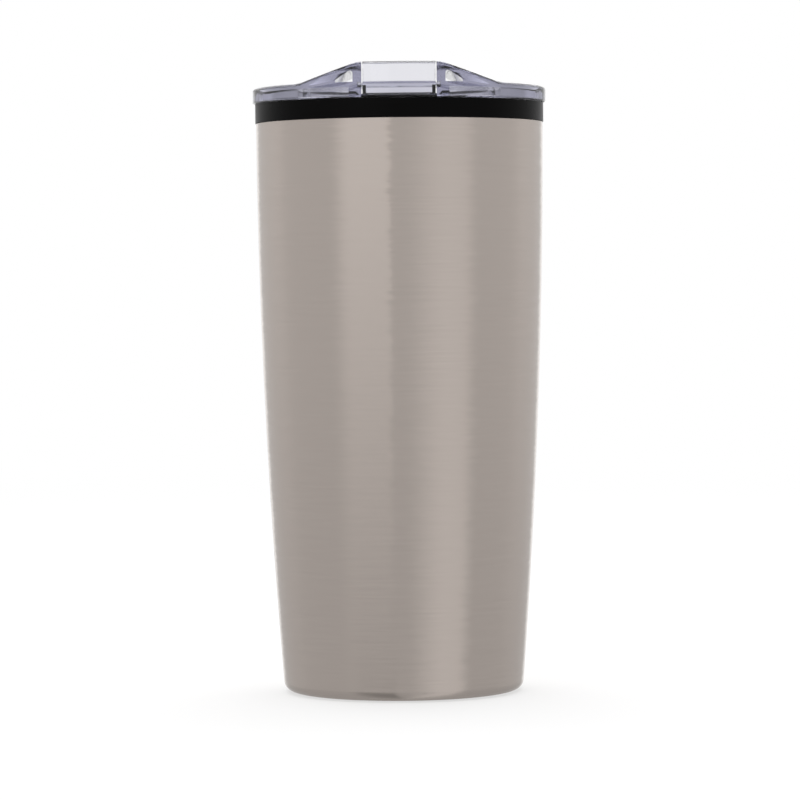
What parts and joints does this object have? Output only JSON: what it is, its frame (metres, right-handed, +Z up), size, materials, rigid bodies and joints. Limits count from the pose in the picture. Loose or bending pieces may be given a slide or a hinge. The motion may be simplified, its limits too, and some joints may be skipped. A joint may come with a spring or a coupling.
{
  "type": "insulated tumbler",
  "caption": "Insulated travel tumbler: bulged brushed steel shell, black plastic liner with a collar, and a clear press-in lid whose slider covers the drinking opening.",
  "frame": {"origin": "centre of the underside, on the surface that the tumbler stands on", "axes": "+Z up along the tumbler's axis, -Y towards the drinking side of the lid, +X to the right of someone who looks at the drinking side"},
  "size_m": [0.0888, 0.0888, 0.189],
  "materials": {
    "steel": "stainless steel brushed round the body, with a clear satin finish",
    "black_plastic": "satin moulded black polypropylene",
    "clear_plastic": "polished clear moulded plastic with a faint cool smoke tint",
    "silicone": "translucent silicone, slightly frosted",
    "seal_silicone": "soft silicone, milky in the pad and black in the two brake strips",
    "pad_rubber": "soft matte black silicone rubber"
  },
  "bodies": {
    "cup": {"outer_shell": "steel", "base_cover": "black_plastic", "base_pad": "pad_rubber", "liner": "black_plastic", "shell_seal": "silicone"},
    "lid": {"lid_body": "clear_plastic", "lid_gasket": "silicone"},
    "slider": {"slider": "clear_plastic", "slider_seal": "seal_silicone"}
  },
  "joints": [
    {"name": "lid_lift", "type": "slide", "parent": "cup", "child": "lid", "axis": [0, 0, 1], "range_m": [0, 0.05]},
    {"name": "slider_slide", "type": "slide", "parent": "lid", "child": "slider", "axis": [0, 1, 0], "range_m": [0, 0.0155]}
  ]
}
